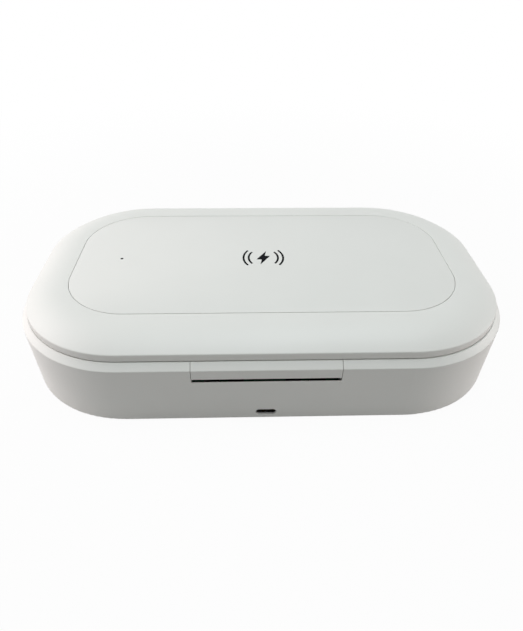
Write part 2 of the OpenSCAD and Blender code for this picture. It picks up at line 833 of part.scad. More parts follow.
module charger_parts() {
  low = recess_z + liner_t + 0.1;
  color("#33353a") {
    translate([charger_x, 0, 0]) box([-4, -4, low], [4, 4, charger_z]);
    for (y = [-10, 10]) translate([charger_x + 12, y, low]) cylinder(h = charger_z - low, r = 3);
    for (x = [-16, -10]) translate([charger_x + x, -9, 0]) box([-2, -1, low], [2, 1, charger_z]);
  }
}

module lid_liner() {
  high = liner_z + liner_t;
  color("#d2d6d9") difference() {
    filled(recess_z, recess_z + liner_t)
      eased([[0, recess_z], [recess_out - 2, recess_z], [recess_out, liner_z], [liner_out, liner_z],
          [liner_out, high], [recess_out + 0.5, high], [recess_out - 1.5, recess_z + liner_t],
          [0, recess_z + liner_t]], [0, -0.8, 0.8, 0, 0, 0, 0, 0]);
    rear_run(2 * (flap_half + slack)) translate([neck_out - neck_t - slack, liner_z - over])
      square([corner_r, liner_t + 2 * over]);
    for (p = liner_screw_spots) translate([p.x, p.y, liner_z - over]) {
      cylinder(h = over + head_t + fit, r = head_r + fit);
      cylinder(h = over + liner_t + over, r = screw_r + fit);
    }
  }
}

module liner_screws() {
  color("#9a9da0") for (p = liner_screw_spots) translate([p.x, p.y, liner_z]) screw(2.6);
}

module lid_magnets() {
  low = liner_z + liner_t + fit;
  color("#8f9397") for (s = [-1, 1]) translate([s * magnet_x, core_y + lid_magnet_r, 0])
    box([-magnet_l / 2, -magnet_w / 2, low], [magnet_l / 2, magnet_w / 2, low + 1]);
}

module lid_bumpers() {
  out = border_r / sqrt(2);
  low = flange_z + 0.15;
  color("#8b8d8e") for (x = [-1, 1], y = [-1, 1]) translate([x * (core_x + out), y * (core_y + out), low])
    cylinder(h = liner_z - low, r = bumper_r);
}

// Button

module button_cap() {
  stem = switch_y + switch_d + plunger_out;
  color("#dfe1e0") {
    along_y(flange_y - over, button_y + 0.1) translate([0, button_mid]) stadium(button_w, button_h);
    along_y(button_y, button_y + 0.4) translate([0, button_mid]) stadium(button_w - 0.8, button_h - 0.8);
    along_y(flange_y - over, flange_y) translate([0, button_mid]) stadium(button_w + 2, button_h + 2);
    along_y(stem, flange_y) translate([0, button_mid]) circle(2);
  }
}

module switch_plunger() {
  color("#c8b28a") along_y(switch_y + switch_d - 1.2, switch_y + switch_d + plunger_out)
    translate([0, button_mid]) circle(plunger_r);
}

base_shell();
bottom_cover();
foot(-1, 1);  // foot_front_left
foot(1, 1);  // foot_front_right
foot(-1, -1);  // foot_rear_left
foot(1, -1);  // foot_rear_right
cover_screws();
inner_tray();
phone_rests();
lamp(base_lamp_y, base_lamp_z);  // base_lamp_front
lamp(-base_lamp_y, base_lamp_z);  // base_lamp_rear
lamp_caps(base_lamp_y, base_lamp_z);  // base_lamp_caps
lamp_clips(base_lamp_y, base_lamp_z, floor_z, 1);  // base_lamp_clips
main_board();
board_parts();
board_screws();
socket_shell();
socket_tongue();
switch_board();
switch_screws();
push_switch();
lid_sensor();
base_magnets();
hinge_pin(-1, false);  // hinge_pin_left
hinge_pin(1, true);  // hinge_pin_right
base_harness();
lid_shell();
charging_pad();
status_light();
charging_coil();
ferrite_sheet();
charger_board();
charger_parts();
lid_liner();
liner_screws();
lamp(lid_lamp_y, lid_lamp_z);  // lid_lamp_front
lamp(-lid_lamp_y, lid_lamp_z);  // lid_lamp_rear
lamp_caps(lid_lamp_y, lid_lamp_z);  // lid_lamp_caps
lamp_clips(lid_lamp_y, lid_lamp_z, recess_z, -1);  // lid_lamp_clips
lid_magnets();
hinge_flap();
flap_screws();
lid_harness();
lid_bumpers();
button_cap();
switch_plunger();
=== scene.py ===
# %% [markdown]
# # Dressing a phone sanitizer box
# The box is a white moulded shell with a hinged lid. The engineering model already holds every
# solid in its place, so this script gives those solids their finishes and models the pieces whose
# small detail a solid modeller leaves out: the pad with its printed sign, screws with a cross
# recess, rubber feet, the button and the electrodes inside the lamps.
# The first step loads that model.

# %% Load the engineering model
import math
import bmesh
import bpy
from mathutils import Matrix, Vector


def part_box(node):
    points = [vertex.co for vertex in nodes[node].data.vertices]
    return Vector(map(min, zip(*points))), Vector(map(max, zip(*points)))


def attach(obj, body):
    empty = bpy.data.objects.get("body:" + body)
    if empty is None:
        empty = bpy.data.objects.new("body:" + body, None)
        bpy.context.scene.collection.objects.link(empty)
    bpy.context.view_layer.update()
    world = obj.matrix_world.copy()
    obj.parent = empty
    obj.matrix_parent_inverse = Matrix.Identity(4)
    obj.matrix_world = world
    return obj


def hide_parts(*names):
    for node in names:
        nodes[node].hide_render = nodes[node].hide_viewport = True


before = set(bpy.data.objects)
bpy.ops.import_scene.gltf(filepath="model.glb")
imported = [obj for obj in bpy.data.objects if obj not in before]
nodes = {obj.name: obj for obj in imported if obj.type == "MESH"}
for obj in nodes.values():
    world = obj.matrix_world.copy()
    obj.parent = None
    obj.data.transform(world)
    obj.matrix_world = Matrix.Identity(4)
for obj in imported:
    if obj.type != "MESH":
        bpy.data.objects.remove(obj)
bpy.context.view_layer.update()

MM = 0.001
print("nodes:", len(nodes))

# %% [markdown]
# ## Camera
# The photograph looks down on the hinge side from about 37 degrees, close enough for the sides to
# converge. A camera is a point, an aim and a lens, so the clearest way to write one is to start at
# the point it looks at and step back from there along the line of sight. The camera was held in
# the hand, so it leans by less than a degree.

# %% Put the camera where the photographer stood
AIM = Vector((-0.73, -19.0, 21.2)) * MM
DISTANCE = 255.3 * MM
AZIMUTH = math.radians(-2.08)
ELEVATION = math.radians(37.55)
ROLL = math.radians(0.7)
LENS = 30.31
SENSOR = 36.0

back = Vector((
    math.sin(AZIMUTH) * math.cos(ELEVATION),
    -math.cos(AZIMUTH) * math.cos(ELEVATION),
    math.sin(ELEVATION),
))
eye = bpy.data.cameras.new("eye")
eye.lens = LENS
eye.sensor_width = SENSOR
eye.clip_start = 0.01
camera = bpy.data.objects.new("camera", eye)
camera.location = AIM + back * DISTANCE
level = back.to_track_quat("Z", "Y").to_matrix()
camera.rotation_euler = (level @ Matrix.Rotation(ROLL, 3, "Z")).to_euler()
bpy.context.scene.collection.objects.link(camera)
bpy.context.scene.camera = camera
print("camera at", [round(c, 4) for c in camera.location])

# %% [markdown]
# ## Light
# White plastic shows its form only through soft differences in grey. A broad cool lamp overhead
# gives the top its even tone and leaves the hinge side darker, as in the photograph. Warmer lamps
# on the left and right brighten the two ends; the left has a high one for the lid and a low one for
# the wall. The sky is dim, so it fills without flattening, and it is white only where the camera or
# a reflection looks at it.

# %% Lamps
def soft_lamp(name, place, aim, width, depth, watts, tint):
    """Place, aim and size are in metres."""
    lamp = bpy.data.lights.new(name, "AREA")
    lamp.shape = "RECTANGLE"
    lamp.size = width
    lamp.size_y = depth
    lamp.energy = watts
    lamp.color = tint
    holder = bpy.data.objects.new(name, lamp)
    holder.location = place
    toward = Vector(place) - Vector(aim)
    holder.rotation_euler = toward.to_track_quat("Z", "Y").to_euler()
    bpy.context.scene.collection.objects.link(holder)


MIDDLE = (0.0, 0.0, 0.03)
LEFT_END = (-0.05, 0.0, 0.03)
RIGHT_END = (0.05, 0.0, 0.03)
soft_lamp("overhead", (0.05, -0.04, 0.95), MIDDLE, 0.7, 0.25, 4.65, (0.86, 0.97, 1.0))
soft_lamp("left_window", (-0.68, 0.10, 0.52), LEFT_END, 0.6, 0.4, 3.5, (1.0, 0.92, 0.92))
soft_lamp("left_wall", (-0.80, 0.05, 0.15), LEFT_END, 0.7, 0.25, 2.1, (1.0, 0.90, 0.91))
soft_lamp("right_window", (0.8, -0.1, 0.2), RIGHT_END, 0.6, 0.3, 2.75, (1.0, 0.90, 0.89))

# %% What the camera, clear plastic or a reflection looks at
def looked_at(tree):
    rays = tree.nodes.new("ShaderNodeLightPath")
    looked = rays.outputs["Is Camera Ray"]
    for kind in ("Is Transmission Ray", "Is Glossy Ray"):
        either = tree.nodes.new("ShaderNodeMath")
        either.operation = "MAXIMUM"
        tree.links.new(looked, either.inputs[0])
        tree.links.new(rays.outputs[kind], either.inputs[1])
        looked = either.outputs[0]
    return looked


# %% The sky
SKY_FILL = 0.095
ROOM_TINT = (1.0, 0.96, 0.86, 1.0)
WHITE = (1.0, 1.0, 1.0, 1.0)

sky = bpy.data.worlds.new("sky")
sky.use_nodes = True
bpy.context.scene.world = sky
tree = sky.node_tree
backdrop = tree.nodes["Background"]
looked = looked_at(tree)
room = tree.nodes.new("ShaderNodeMix")
room.data_type = "RGBA"
room.inputs["A"].default_value = ROOM_TINT
room.inputs["B"].default_value = WHITE
tree.links.new(looked, room.inputs["Factor"])
tree.links.new(room.outputs["Result"], backdrop.inputs["Color"])
strength = tree.nodes.new("ShaderNodeMapRange")
strength.inputs["To Min"].default_value = SKY_FILL
strength.inputs["To Max"].default_value = 1.0
tree.links.new(looked, strength.inputs["Value"])
tree.links.new(strength.outputs["Result"], backdrop.inputs["Strength"])
bpy.context.scene.view_settings.view_transform = "Standard"
print("sky strength on the box", SKY_FILL)

# %% [markdown]
# ## Floor
# The box stands on a plain white sweep. The floor is an ordinary pale surface to light that falls
# on it, so it keeps the box's shadow, but to the camera most of it glows at exactly white. That
# gives the clean background of a catalogue picture without over-lighting the box. The glow takes
# over completely further out, so that no horizon shows.

# %% Floor
FLOOR_RADIUS = 3.0
FLOOR_DROP = 0.02 * MM

floor_shape = bmesh.new()
bmesh.ops.create_circle(floor_shape, cap_ends=True, segments=96, radius=FLOOR_RADIUS)
bmesh.ops.translate(floor_shape, vec=(0.0, 0.0, -FLOOR_DROP), verts=floor_shape.verts)
floor_mesh = bpy.data.meshes.new("floor")
floor_shape.to_mesh(floor_mesh)
floor_shape.free()
floor = bpy.data.objects.new("floor", floor_mesh)
bpy.context.scene.collection.objects.link(floor)
print("floor radius", FLOOR_RADIUS)

# %% Paper that glows white further out
PAPER_GREY = (0.60, 0.60, 0.60, 1.0)
LEAST_GLOW = 0.96
GLOW_STARTS = 0.14
GLOW_FULL = 0.45

paper = bpy.data.materials.new("paper")
paper.use_nodes = True
tree = paper.node_tree
matte = tree.nodes["Principled BSDF"]
matte.inputs["Base Color"].default_value = PAPER_GREY
matte.inputs["Roughness"].default_value = 0.9
matte.inputs["Specular IOR Level"].default_value = 0.0
glow = tree.nodes.new("ShaderNodeEmission")
spot = tree.nodes.new("ShaderNodeTexCoord")
reach = tree.nodes.new("ShaderNodeVectorMath")
reach.operation = "LENGTH"
tree.links.new(spot.outputs["Object"], reach.inputs[0])
fade = tree.nodes.new("ShaderNodeMapRange")
fade.interpolation_type = "SMOOTHSTEP"
fade.inputs["From Min"].default_value = GLOW_STARTS
fade.inputs["From Max"].default_value = GLOW_FULL
fade.inputs["To Min"].default_value = LEAST_GLOW
fade.inputs["To Max"].default_value = 1.0
tree.links.new(reach.outputs["Value"], fade.inputs["Value"])
share = tree.nodes.new("ShaderNodeMath")
share.operation = "MULTIPLY"
tree.links.new(looked_at(tree), share.inputs[0])
tree.links.new(fade.outputs["Result"], share.inputs[1])
blend = tree.nodes.new("ShaderNodeMixShader")
tree.links.new(share.outputs[0], blend.inputs["Fac"])
tree.links.new(matte.outputs["BSDF"], blend.inputs[1])
tree.links.new(glow.outputs["Emission"], blend.inputs[2])
tree.links.new(blend.outputs["Shader"], tree.nodes["Material Output"].inputs["Surface"])
floor_mesh.materials.append(paper)
print("glow near the box", LEAST_GLOW)

# %% [markdown]
# ## Moulded plastic
# Nearly every visible surface is moulded plastic, and what tells one grade from another is the
# texture of the mould: how fine it is, how deep, and how much it scatters a highlight. One helper
# makes them all. Fine noise drives both roughness and a very shallow bump, because on the real
# part the same grain causes both. A second, much broader noise lets the colour drift by a percent
# or two, as resin does when it cools. Everything reads object coordinates, so the grain stays put.

# %% Screen colours to the shader's linear ones
def linear(tone):
    return tuple((c / 12.92) if c <= 0.04045 else ((c + 0.055) / 1.055) ** 2.4 for c in tone)


# %% A helper for moulded finishes
DRIFT_SCALE = 35.0


def grained(name, tone, rough, grain, relief, drift=0.02, spread=0.06, metal=0.0):
    """tone is sRGB from 0 to 1, grain the size of the texture in mm, relief its depth in mm."""
    finish = bpy.data.materials.new(name)
    finish.use_nodes = True
    tree = finish.node_tree
    shader = tree.nodes["Principled BSDF"]
    shader.inputs["Metallic"].default_value = metal
    spot = tree.nodes.new("ShaderNodeTexCoord")
    fine = tree.nodes.new("ShaderNodeTexNoise")
    fine.inputs["Scale"].default_value = 1.0 / (grain * MM)
    fine.inputs["Detail"].default_value = 3.0
    broad = tree.nodes.new("ShaderNodeTexNoise")
    broad.inputs["Scale"].default_value = DRIFT_SCALE
    broad.inputs["Detail"].default_value = 2.0
    for noise in (fine, broad):
        tree.links.new(spot.outputs["Object"], noise.inputs["Vector"])
    colour = linear(tone)
    tint = tree.nodes.new("ShaderNodeMix")
    tint.data_type = "RGBA"
    tint.inputs["A"].default_value = (*[c * (1 - drift) for c in colour], 1.0)
    tint.inputs["B"].default_value = (*[min(1.0, c * (1 + drift)) for c in colour], 1.0)
    tree.links.new(broad.outputs["Fac"], tint.inputs["Factor"])
    tree.links.new(tint.outputs["Result"], shader.inputs["Base Color"])
    sheen = tree.nodes.new("ShaderNodeMapRange")
    sheen.inputs["To Min"].default_value = rough - spread
    sheen.inputs["To Max"].default_value = rough + spread
    tree.links.new(fine.outputs["Fac"], sheen.inputs["Value"])
    tree.links.new(sheen.outputs["Result"], shader.inputs["Roughness"])
    bump = tree.nodes.new("ShaderNodeBump")
    bump.inputs["Strength"].default_value = 1.0
    bump.inputs["Distance"].default_value = relief * MM
    tree.links.new(fine.outputs["Fac"], bump.inputs["Height"])
    tree.links.new(bump.outputs["Normal"], shader.inputs["Normal"])
    return finish


# %% The white and grey mouldings
SHELL_TONE = (0.885, 0.888, 0.873)

shell_white = grained("shell_white", SHELL_TONE, 0.48, 0.30, 0.006)
pad_white = grained("pad_white", SHELL_TONE, 0.46, 0.16, 0.003)
cover_white = grained("cover_white", (0.86, 0.865, 0.86), 0.55, 0.45, 0.012)
button_white = grained("button_white", SHELL_TONE, 0.34, 0.25, 0.003)
clip_white = grained("clip_white", (0.90, 0.90, 0.87), 0.45, 0.40, 0.005)
cap_white = grained("cap_white", (0.91, 0.905, 0.88), 0.22, 0.50, 0.003)
rubber_grey = grained("rubber_grey", (0.36, 0.37, 0.38), 0.72, 0.22, 0.010, drift=0.05)
part_black = grained("part_black", (0.11, 0.11, 0.12), 0.42, 0.18, 0.004)
wire_black = grained("wire_black", (0.09, 0.09, 0.10), 0.50, 0.30, 0.004)
plunger_tan = grained("plunger_tan", (0.74, 0.64, 0.48), 0.40, 0.30, 0.003)
print("plain mouldings:", len(bpy.data.materials))

# %% [markdown]
# ## Metals
# Screws are zinc plated, so their highlight is broken up by a cloudy plating. Pins are ground, the
# socket is drawn sheet and the coil is lacquered copper. The same helper serves with the metal
# switched on, since plating is also a colour with a grain.

# %% The metals
screw_steel = grained("screw_steel", (0.74, 0.75, 0.76), 0.30, 0.20, 0.003, metal=1.0)
pin_steel = grained("pin_steel", (0.80, 0.81, 0.82), 0.20, 0.12, 0.002, metal=1.0)
socket_steel = grained("socket_steel", (0.74, 0.74, 0.75), 0.26, 0.25, 0.002, metal=1.0)
magnet_nickel = grained("magnet_nickel", (0.76, 0.75, 0.73), 0.18, 0.60, 0.002, metal=1.0)
coil_copper = grained("coil_copper", (0.86, 0.50, 0.30), 0.24, 0.40, 0.002, drift=0.06, metal=1.0)
ferrite_grey = grained("ferrite_grey", (0.20, 0.21, 0.22), 0.62, 0.35, 0.006, drift=0.08)
contact_gold = grained("contact_gold", (0.93, 0.76, 0.42), 0.22, 0.20, 0.001, metal=1.0)
print("finishes so far:", len(bpy.data.materials))

# %% [markdown]
# ## The reflector
# Tray and liner are metallised plastic: a bright film over a moulding. Such a film is never a
# perfect mirror, because it follows every slight wave of the moulding under it. So its bump is
# broad and shallow instead of fine, and its roughness wanders a little.

# %% Metallised plastic
FILM_ROUGHNESS = 0.20
WAVE = 6.0
WAVE_DEPTH = 0.05

reflector_silver = grained(
    "reflector_silver", (0.83, 0.84, 0.85), FILM_ROUGHNESS, WAVE, WAVE_DEPTH,
    spread=0.05, metal=1.0,
)
print("reflector roughness", FILM_ROUGHNESS)

# %% [markdown]
# ## Glass and clear plastic
# The lamps are clear quartz tubes and the bars that carry the phone are frosted acrylic. Both
# pass light, so transmission is set on the shader's own socket. The acrylic passes only part of
# it and scatters the rest, which is what frosting does and keeps thick bars from going dark. The
# status light is a smoked lens, which is nearly black while it is off.

# %% Clear finishes
def clear(name, tone, index, rough, passed):
    """index is the refractive index, passed the share of the light that goes through."""
    finish = grained(name, tone, rough, 2.5, 0.004, drift=0.01, spread=0.02)
    shader = finish.node_tree.nodes["Principled BSDF"]
    shader.inputs["Transmission Weight"].default_value = passed
    shader.inputs["IOR"].default_value = index
    return finish


quartz = clear("quartz", (0.97, 0.98, 0.99), 1.46, 0.04, 1.0)
acrylic = clear("acrylic", (0.95, 0.97, 0.98), 1.49, 0.30, 0.35)
print("clear finishes:", quartz.name, acrylic.name)

# %% The unlit status light
light_dark = grained("light_dark", (0.10, 0.10, 0.11), 0.15, 0.30, 0.002)
print("finishes so far:", len(bpy.data.materials))

# %% [markdown]
# ## Circuit boards
# A board is green solder mask over copper tracks. The tracks show through as slightly lighter
# lines, and drawing them as geometry would be wasted here, inside a closed box. A brick pattern
# in the colour stands for them: long runs with breaks, at the pitch of real tracks.

# %% Solder mask with tracks under it
BRICK_SCALE = 6.0 * MM
ROW_HEIGHT = 0.25
TRACK_WIDTH = 0.03
BOARD_COLOURS = {
    "Color1": (0.012, 0.13, 0.055, 1.0),
    "Color2": (0.010, 0.115, 0.050, 1.0),
    "Mortar": (0.035, 0.24, 0.11, 1.0),
}

board_green = grained("board_green", (0.13, 0.42, 0.27), 0.28, 0.5, 0.004)
tree = board_green.node_tree
spot = tree.nodes.new("ShaderNodeTexCoord")
tracks = tree.nodes.new("ShaderNodeTexBrick")
tracks.inputs["Scale"].default_value = 1.0 / BRICK_SCALE
tracks.inputs["Row Height"].default_value = ROW_HEIGHT
tracks.inputs["Mortar Size"].default_value = TRACK_WIDTH
for socket, colour in BOARD_COLOURS.items():
    tracks.inputs[socket].default_value = colour
tree.links.new(spot.outputs["Object"], tracks.inputs["Vector"])
tree.links.new(tracks.outputs["Color"], tree.nodes["Principled BSDF"].inputs["Base Color"])
print("track pitch in mm", BRICK_SCALE * ROW_HEIGHT / MM)

# %% [markdown]
# ## Finishes on the engineering solids
# The record names a material slot for every node, and a node's own shape is right for most of
# the box. So each slot's placeholder is swapped for the finish made above.

# %% Assign a finish to every slot
FINISHES = {
    "white_shell": shell_white,
    "pad_white": pad_white,
    "cover_white": cover_white,
    "grey_rubber": rubber_grey,
    "reflector": reflector_silver,
    "clear_plastic": acrylic,
    "lamp_glass": quartz,
    "lamp_ceramic": cap_white,
    "clip_white": clip_white,
    "board_green": board_green,
    "part_black": part_black,
    "socket_steel": socket_steel,
    "screw_steel": screw_steel,
    "pin_steel": pin_steel,
    "magnet_nickel": magnet_nickel,
    "coil_copper": coil_copper,
    "ferrite": ferrite_grey,
    "wire_black": wire_black,
    "light_dark": light_dark,
    "button_white": button_white,
    "plunger_tan": plunger_tan,
}
for node in nodes.values():
    for place in node.material_slots:
        place.material = FINISHES[place.material.name.split(".")[0]]
print("slots used:", len({m.name for n in nodes.values() for m in n.data.materials}))

# %% [markdown]
# ## From bmesh to a piece
# Each new piece ends the same way: its mesh becomes an object, its faces are smoothed except across
# real corners, it gets its finish, it is parented to the body it rides on, and the engineering
# nodes it stands for are hidden.

# %% Finish a piece
def make_piece(name, shape, finish, body, slot, *stands_for, corner=35):
    """corner is the least angle, in degrees, at which an edge stays sharp."""
    bmesh.ops.recalc_face_normals(shape, faces=shape.faces[:])
    mesh = bpy.data.meshes.new(name)
    shape.to_mesh(mesh)
    shape.free()
    mesh.shade_smooth()
    mesh.set_sharp_from_angle(angle=math.radians(corner))
    mesh.materials.append(finish)
    piece = bpy.data.objects.new(name, mesh)
    bpy.context.scene.collection.objects.link(piece)
    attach(piece, body)
    if stands_for:
        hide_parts(*stands_for)
    print(name, "faces:", len(mesh.polygons))


# %% [markdown]
# ## The pad
# The charging surface is a thin flat sheet let into the lid, with round corners and a fine bright
# edge where its rim is broken. A one-face grid has four corners, and a vertex bevel turns each
# into a true arc. Extruding gives the thickness and an edge bevel breaks the rim. The sheet stops
# a hundredth of a millimetre or two below the lid's top, which is where the print lies. Its seam
# is a little closer at the two ends, where one looks straight down into it.

# %% A slab with round corners
def slab(half_x, half_y, radius, low, high, steps=24):
    shape = bmesh.new()
    bmesh.ops.create_grid(shape, x_segments=1, y_segments=1, size=1.0)
    bmesh.ops.scale(shape, vec=(half_x, half_y, 1.0), verts=shape.verts)
    bmesh.ops.bevel(
        shape, geom=shape.verts[:], offset=radius, segments=steps, profile=0.5,
        affect="VERTICES", material=-1,
    )
    bmesh.ops.translate(shape, vec=(0.0, 0.0, low), verts=shape.verts)
    raised = bmesh.ops.extrude_face_region(shape, geom=shape.faces[:])["geom"]
    upper = [v for v in raised if isinstance(v, bmesh.types.BMVert)]
    bmesh.ops.translate(shape, vec=(0.0, 0.0, high - low), verts=upper)
    return shape


# %% Break or round the rim at one height
def break_edge(shape, height, size, steps):
    rim = [e for e in shape.edges if all(abs(v.co.z - height) < 1e-7 for v in e.verts)]
    bmesh.ops.bevel(
        shape, geom=rim, offset=size, segments=steps, profile=0.5, affect="EDGES", material=-1,
    )


# %% Pad
pad_low, pad_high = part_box("charging_pad")
PRINT_DEPTH = 0.015 * MM
PAD_CORNER = 29.0 * MM
END_FIT = 0.1 * MM
PAD_BREAK = 0.1 * MM

pad_face = pad_high.z - PRINT_DEPTH
pad_shape = slab(pad_high.x + END_FIT, pad_high.y, PAD_CORNER, pad_low.z, pad_face)
break_edge(pad_shape, pad_face, PAD_BREAK, 2)
make_piece("pad", pad_shape, pad_white, "lid", "pad_white", "charging_pad")

# %% [markdown]
# ## The sign on the pad
# A small black sign shows where to lay a phone: a bolt between two pairs of arcs, as on any
# wireless charger. It is printed, so it is only a film. Each arc is one short edge spun about a
# point near the middle, and the bolt is a six-cornered face that is the same when half turned. A
# ring of the same ink masks the edge of the tiny status light. Matt ink hardly mirrors the white
# room, so its specular level is low.

# %% Sign
SIGN_X = 0.5 * MM
ARC_MIDDLE = 2.0 * MM
ARC_RADII = (9.10 * MM, 11.60 * MM)
ARC_HALF = math.radians(35.5)
STROKE = 0.98 * MM
BOLT = [(1.5, 6.1), (-3.3, -1.5), (-0.8, -1.8), (-1.5, -6.1), (3.3, 1.5), (0.8, 1.8)]
RING = 0.72 * MM
INK_SINKS = 0.004 * MM
INK_BELOW_TOP = 0.001 * MM

sign_shape = bmesh.new()
film_low = pad_high.z - PRINT_DEPTH - INK_SINKS
film_high = pad_high.z - INK_BELOW_TOP
for side in (-1, 1):
    centre = Vector((SIGN_X - side * ARC_MIDDLE, 0.0, film_low))
    for radius in ARC_RADII:
        start = Matrix.Rotation(-ARC_HALF, 4, "Z")
        ends = [
            sign_shape.verts.new(centre + start @ Vector((side * (radius + t * STROKE), 0.0, 0.0)))
            for t in (-0.5, 0.5)
        ]
        stroke = sign_shape.edges.new(ends)
        bmesh.ops.spin(
            sign_shape, geom=ends + [stroke], cent=centre, axis=(0.0, 0.0, 1.0),
            angle=2 * ARC_HALF, steps=20,
        )
bolt_corners = [sign_shape.verts.new((SIGN_X + x * MM, y * MM, film_low)) for x, y in BOLT]
sign_shape.faces.new(bolt_corners)

# %% The ring round the status light, and the ink's thickness
light_low, light_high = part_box("status_light")
light_middle = Matrix.Translation((0.5 * (light_low.x + light_high.x), 0.0, film_low))
bmesh.ops.create_circle(sign_shape, cap_ends=True, segments=32, radius=RING, matrix=light_middle)
film = bmesh.ops.extrude_face_region(sign_shape, geom=sign_shape.faces[:])["geom"]
bmesh.ops.translate(
    sign_shape, vec=(0.0, 0.0, film_high - film_low),
    verts=[v for v in film if isinstance(v, bmesh.types.BMVert)],
)
INK_MIRROR = 0.04
ink = grained("ink", (0.05, 0.055, 0.07), 0.6, 0.20, 0.001)
ink.node_tree.nodes["Principled BSDF"].inputs["Specular IOR Level"].default_value = INK_MIRROR
make_piece("charging_sign", sign_shape, ink, "lid", "pad_white")

# %% [markdown]
# ## Turned parts
# Feet, bumpers, screw heads and lamp electrodes are all round about an axis. A turned part is
# half its outline, a chain of short edges, swept once round by the spin operator. Points on the
# axis come out many times over, so doubles are merged after the spin.

# %% A helper for turned parts
WELD = 0.002 * MM


def turn(shape, outline, centre, axis=(0.0, 0.0, 1.0), steps=48):
    """outline lists (distance from the axis, place along it), both in mm."""
    axis = Vector(axis)
    across = axis.orthogonal().normalized()
    chain = [shape.verts.new(Vector(centre) + (across * r + axis * h) * MM) for r, h in outline]
    links = [shape.edges.new(pair) for pair in zip(chain, chain[1:])]
    bmesh.ops.spin(
        shape, geom=chain + links, cent=centre, axis=axis, angle=2 * math.pi,
        steps=steps, use_merge=True,
    )
    bmesh.ops.remove_doubles(shape, verts=shape.verts[:], dist=WELD)


# %% [markdown]
# ## Rubber feet
# Four soft discs are pressed into the bottom cover. Their tread has a shallow dish and a groove,
# so that the rim grips. Seen only from below, but a bare disc would look like a stand-in there.

# %% Feet
FOOT_OUTLINE = [
    (0.0, 0.35), (1.0, 0.35), (1.3, 0.06), (1.5, 0.0), (2.3, 0.0), (2.5, 0.06), (2.65, 0.30),
    (3.1, 0.30), (3.25, 0.06), (3.45, 0.0), (4.5, 0.0), (4.85, 0.15), (5.0, 0.5), (5.0, 1.8),
    (0.0, 1.8),
]
for place in ("front_left", "front_right", "rear_left", "rear_right"):
    foot = "foot_" + place
    low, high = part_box(foot)
    middle = ((low.x + high.x) / 2, (low.y + high.y) / 2, low.z)
    foot_shape = bmesh.new()
    turn(foot_shape, FOOT_OUTLINE, middle)
    make_piece("rubber_" + foot, foot_shape, rubber_grey, "base", "grey_rubber", foot)

# %% [markdown]
# ## Bumpers
# Four small domes of the same rubber keep the lid off the rim. They hang from the liner, one in
# each corner, and are turned with their axis pointing down.

# %% Bumpers
BUMPER_X = 89.1
BUMPER_Y = 46.1
low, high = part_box("lid_bumpers")
drop = (high.z - low.z) / MM
dome = [
    (0.0, drop), (0.9, drop - 0.03), (1.5, drop - 0.16), (1.85, drop - 0.36), (2.0, 0.25),
    (2.0, 0.0), (0.0, 0.0),
]
bumper_shape = bmesh.new()
for x in (-BUMPER_X, BUMPER_X):
    for y in (-BUMPER_Y, BUMPER_Y):
        turn(bumper_shape, dome, (x * MM, y * MM, high.z), axis=(0.0, 0.0, -1.0), steps=32)
make_piece("bumpers", bumper_shape, rubber_grey, "lid", "grey_rubber", "lid_bumpers")

# %% [markdown]
# ## Screws with a cross recess
# The cover and the liner are held by small pan-head screws. What makes one read as a screw is the
# cross in its head. The head and shank are turned with an open ring on top, a plus-shaped loop is
# laid inside that ring, and the gap between them is filled. The plus is then pulled down into
# the head, tapering as the driver's tip does, and closed.

# %% One screw, pointing up, its head face at height 0
def cross_screw(head, thick, shank, length, arm, half, deep):
    """All in mm: the head's radius and thickness, the shank's radius and length, and the cross's
    reach, half width and depth."""
    shape = bmesh.new()
    edge = 0.3 * thick
    ring_r = head - edge
    turn(shape, [
        (ring_r, 0.0), (head - 0.3 * edge, 0.25 * edge), (head, edge), (head, thick),
        (shank, thick), (shank, thick + length - 0.5), (0.4 * shank, thick + length),
        (0.0, thick + length),
    ], (0.0, 0.0, 0.0), steps=32)
    ring = [e for e in shape.edges if all(abs(v.co.z) < 1e-8 for v in e.verts)]
    plus = [(half, arm), (-half, arm), (-half, half), (-arm, half), (-arm, -half), (-half, -half),
            (-half, -arm), (half, -arm), (half, -half), (arm, -half), (arm, half), (half, half)]
    corners = [shape.verts.new((x * MM, y * MM, 0.0)) for x, y in plus]
    loop = [shape.edges.new((corners[i], corners[i - 1])) for i in range(len(corners))]
    bmesh.ops.triangle_fill(shape, use_beauty=True, edges=ring + loop)
    pulled = bmesh.ops.extrude_edge_only(shape, edges=loop)["geom"]
    floor_ring = [v for v in pulled if isinstance(v, bmesh.types.BMVert)]
    bmesh.ops.scale(shape, vec=(0.75, 0.75, 1.0), verts=floor_ring)
    bmesh.ops.translate(shape, vec=(0.0, 0.0, deep * MM), verts=floor_ring)
    bmesh.ops.edgeloop_fill(shape, edges=[e for e in pulled if isinstance(e, bmesh.types.BMEdge)])
    mesh = bpy.data.meshes.new("screw")
    shape.to_mesh(mesh)
    shape.free()
    return mesh


# %% Copies of it, each turned a little further
def set_out(mesh, places, turn_by=17.0):
    shape = bmesh.new()
    for number, place in enumerate(places):
        known = set(shape.verts)
        shape.from_mesh(mesh)
        added = [v for v in shape.verts if v not in known]
        angle = math.radians(turn_by * (number + 1))
        bmesh.ops.rotate(shape, cent=(0, 0, 0), matrix=Matrix.Rotation(angle, 3, "Z"), verts=added)
        bmesh.ops.translate(shape, vec=place, verts=added)
    bpy.data.meshes.remove(mesh)
    return shape


# %% Cover screws
COVER_X = 80
COVER_Y = 30

cover_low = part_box("cover_screws")[0]
places = [(x * MM, y * MM, cover_low.z) for x in (-COVER_X, COVER_X) for y in (-COVER_Y, COVER_Y)]
cover_screws = set_out(cross_screw(2.3, 1.0, 1.1, 5.3, 1.2, 0.26, 0.6), places)
make_piece("cover_screw_set", cover_screws, screw_steel, "base", "screw_steel", "cover_screws")

